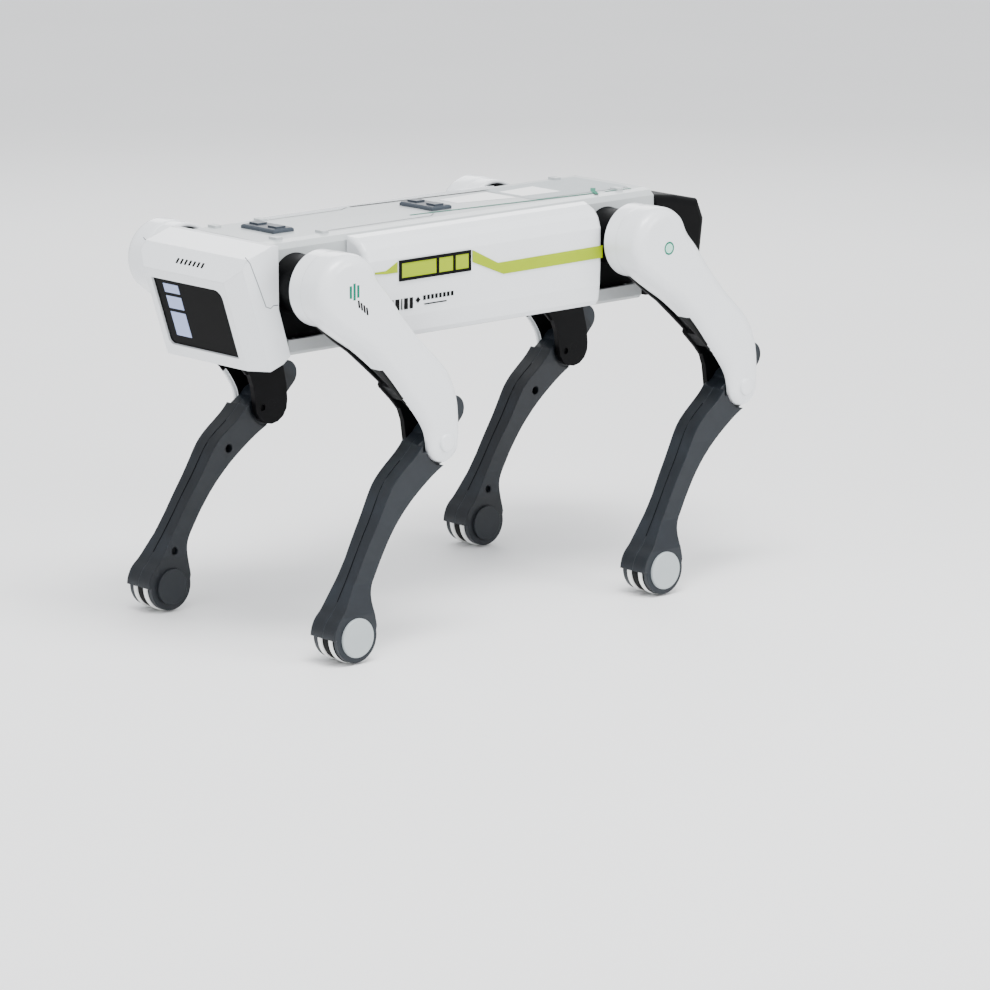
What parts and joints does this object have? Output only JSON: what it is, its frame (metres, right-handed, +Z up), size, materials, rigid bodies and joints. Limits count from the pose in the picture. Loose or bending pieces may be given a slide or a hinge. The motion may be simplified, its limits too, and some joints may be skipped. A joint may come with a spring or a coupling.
{
  "type": "quadruped robot",
  "caption": "Toy-size quadruped robot: long body with a boxy head, rod-driven knees, swinging thighs and shanks, roller feet and a slide switch.",
  "frame": {"origin": "on the ground, under the centre of the overall box, in the stored standing pose", "axes": "+X forward out of the face, +Y to the robot's own left, +Z up"},
  "size_m": [0.37, 0.1824, 0.2287],
  "materials": {
    "shell_white": "gloss",
    "deck_grey": "semi gloss",
    "frame_black": "satin",
    "lime": "gloss",
    "belly_grey": "satin",
    "window_dark": "high gloss",
    "led_pane": "diffuse",
    "board_green": "lacquered",
    "clip_slate": "satin",
    "battery_wrap": "film",
    "screw_steel": "satin",
    "servo_black": "satin",
    "shank_slate": "satin",
    "cap_grey": "satin",
    "foot_rubber": "matte"
  },
  "bodies": {
    "torso": {"top_deck": "deck_grey", "chassis": "frame_black", "side_panel_left": "shell_white", "side_panel_right": "shell_white", "accent_inlays": "lime", "indicator_frames": "frame_black", "belly_tray": "belly_grey", "head_shell": "shell_white", "face_window": "window_dark", "face_leds": "led_pane", "led_board": "board_green", "rear_cap": "frame_black", "deck_clips": "clip_slate", "hip_gearboxes": "frame_black", "battery_pack": "battery_wrap", "battery_door": "belly_grey", "main_board": "board_green", "speaker": "frame_black", "body_screws": "screw_steel"},
    "switch_knob": {"power_switch": "frame_black"},
    "thigh_lf": {"thigh_cover_lf": "shell_white", "thigh_inner_lf": "frame_black", "knee_servo_lf": "servo_black", "knee_pin_lf": "screw_steel"},
    "shank_lf": {"shank_outer_lf": "shank_slate", "shank_inner_lf": "shank_slate", "foot_cap_lf": "cap_grey"},
    "crank_lf": {"knee_crank_lf": "servo_black"},
    "rod_lf": {"push_rod_lf": "frame_black"},
    "roller_lf": {"foot_roller_lf": "foot_rubber"},
    "thigh_rf": {"thigh_cover_rf": "shell_white", "thigh_inner_rf": "frame_black", "knee_servo_rf": "servo_black", "knee_pin_rf": "screw_steel"},
    "shank_rf": {"shank_outer_rf": "shank_slate", "shank_inner_rf": "shank_slate", "foot_cap_rf": "cap_grey"},
    "crank_rf": {"knee_crank_rf": "servo_black"},
    "rod_rf": {"push_rod_rf": "frame_black"},
    "roller_rf": {"foot_roller_rf": "foot_rubber"},
    "thigh_lr": {"thigh_cover_lr": "shell_white", "thigh_inner_lr": "frame_black", "knee_servo_lr": "servo_black", "knee_pin_lr": "screw_steel"},
    "shank_lr": {"shank_outer_lr": "shank_slate", "shank_inner_lr": "shank_slate", "foot_cap_lr": "cap_grey"},
    "crank_lr": {"knee_crank_lr": "servo_black"},
    "rod_lr": {"push_rod_lr": "frame_black"},
    "roller_lr": {"foot_roller_lr": "foot_rubber"},
    "thigh_rr": {"thigh_cover_rr": "shell_white", "thigh_inner_rr": "frame_black", "knee_servo_rr": "servo_black", "knee_pin_rr": "screw_steel"},
    "shank_rr": {"shank_outer_rr": "shank_slate", "shank_inner_rr": "shank_slate", "foot_cap_rr": "cap_grey"},
    "crank_rr": {"knee_crank_rr": "servo_black"},
    "rod_rr": {"push_rod_rr": "frame_black"},
    "roller_rr": {"foot_roller_rr": "foot_rubber"}
  },
  "joints": [
    {"name": "hip_lf", "type": "hinge", "parent": "torso", "child": "thigh_lf", "pos_m": [0.138, 0, 0.2025], "axis": [0, 1, 0], "range_deg": [-50, 50]},
    {"name": "knee_lf", "type": "hinge", "parent": "thigh_lf", "child": "shank_lf", "pos_m": [0.072, 0, 0.1123], "axis": [0, 1, 0], "range_deg": [-30, 35]},
    {"name": "crank_lf", "type": "hinge", "parent": "thigh_lf", "child": "crank_lf", "pos_m": [0.138, 0, 0.2025], "axis": [0, 1, 0], "range_deg": [-31, 36]},
    {"name": "rod_lf", "type": "hinge", "parent": "crank_lf", "child": "rod_lf", "pos_m": [0.12817, 0, 0.21176], "axis": [0, 1, 0], "range_deg": [-36, 31]},
    {"name": "roller_lf", "type": "hinge", "parent": "shank_lf", "child": "roller_lf", "pos_m": [0.1397, 0.0796, 0.0146], "axis": [0, 1, 0], "continuous": true},
    {"name": "hip_rf", "type": "hinge", "parent": "torso", "child": "thigh_rf", "pos_m": [0.138, 0, 0.2025], "axis": [0, 1, 0], "range_deg": [-50, 50]},
    {"name": "knee_rf", "type": "hinge", "parent": "thigh_rf", "child": "shank_rf", "pos_m": [0.07311, 0, 0.1115], "axis": [0, 1, 0], "range_deg": [-30, 35]},
    {"name": "crank_rf", "type": "hinge", "parent": "thigh_rf", "child": "crank_rf", "pos_m": [0.138, 0, 0.2025], "axis": [0, 1, 0], "range_deg": [-31, 36]},
    {"name": "rod_rf", "type": "hinge", "parent": "crank_rf", "child": "rod_rf", "pos_m": [0.12806, 0, 0.21164], "axis": [0, 1, 0], "range_deg": [-36, 31]},
    {"name": "roller_rf", "type": "hinge", "parent": "shank_rf", "child": "roller_rf", "pos_m": [0.142, -0.0796, 0.01463], "axis": [0, 1, 0], "continuous": true},
    {"name": "hip_lr", "type": "hinge", "parent": "torso", "child": "thigh_lr", "pos_m": [-0.0934, 0, 0.2025], "axis": [0, 1, 0], "range_deg": [-50, 50]},
    {"name": "knee_lr", "type": "hinge", "parent": "thigh_lr", "child": "shank_lr", "pos_m": [-0.1594, 0, 0.1123], "axis": [0, 1, 0], "range_deg": [-30, 35]},
    {"name": "crank_lr", "type": "hinge", "parent": "thigh_lr", "child": "crank_lr", "pos_m": [-0.0934, 0, 0.2025], "axis": [0, 1, 0], "range_deg": [-31, 36]},
    {"name": "rod_lr", "type": "hinge", "parent": "crank_lr", "child": "rod_lr", "pos_m": [-0.10323, 0, 0.21176], "axis": [0, 1, 0], "range_deg": [-36, 31]},
    {"name": "roller_lr", "type": "hinge", "parent": "shank_lr", "child": "roller_lr", "pos_m": [-0.0917, 0.0796, 0.0146], "axis": [0, 1, 0], "continuous": true},
    {"name": "hip_rr", "type": "hinge", "parent": "torso", "child": "thigh_rr", "pos_m": [-0.0934, 0, 0.2025], "axis": [0, 1, 0], "range_deg": [-50, 50]},
    {"name": "knee_rr", "type": "hinge", "parent": "thigh_rr", "child": "shank_rr", "pos_m": [-0.16189, 0, 0.11418], "axis": [0, 1, 0], "range_deg": [-30, 35]},
    {"name": "crank_rr", "type": "hinge", "parent": "thigh_rr", "child": "crank_rr", "pos_m": [-0.0934, 0, 0.2025], "axis": [0, 1, 0], "range_deg": [-31, 36]},
    {"name": "rod_rr", "type": "hinge", "parent": "crank_rr", "child": "rod_rr", "pos_m": [-0.10296, 0, 0.21203], "axis": [0, 1, 0], "range_deg": [-36, 31]},
    {"name": "roller_rr", "type": "hinge", "parent": "shank_rr", "child": "roller_rr", "pos_m": [-0.09695, -0.0796, 0.01463], "axis": [0, 1, 0], "continuous": true},
    {"name": "power_slide", "type": "slide", "parent": "torso", "child": "switch_knob", "axis": [1, 0, 0], "range_m": [0, 0.004]}
  ],
  "couplings": [
    {"joint": "crank_lf", "follows": "knee_lf", "ratio": 1},
    {"joint": "rod_lf", "follows": "knee_lf", "ratio": -1},
    {"joint": "crank_rf", "follows": "knee_rf", "ratio": 1},
    {"joint": "rod_rf", "follows": "knee_rf", "ratio": -1},
    {"joint": "crank_lr", "follows": "knee_lr", "ratio": 1},
    {"joint": "rod_lr", "follows": "knee_lr", "ratio": -1},
    {"joint": "crank_rr", "follows": "knee_rr", "ratio": 1},
    {"joint": "rod_rr", "follows": "knee_rr", "ratio": -1}
  ]
}
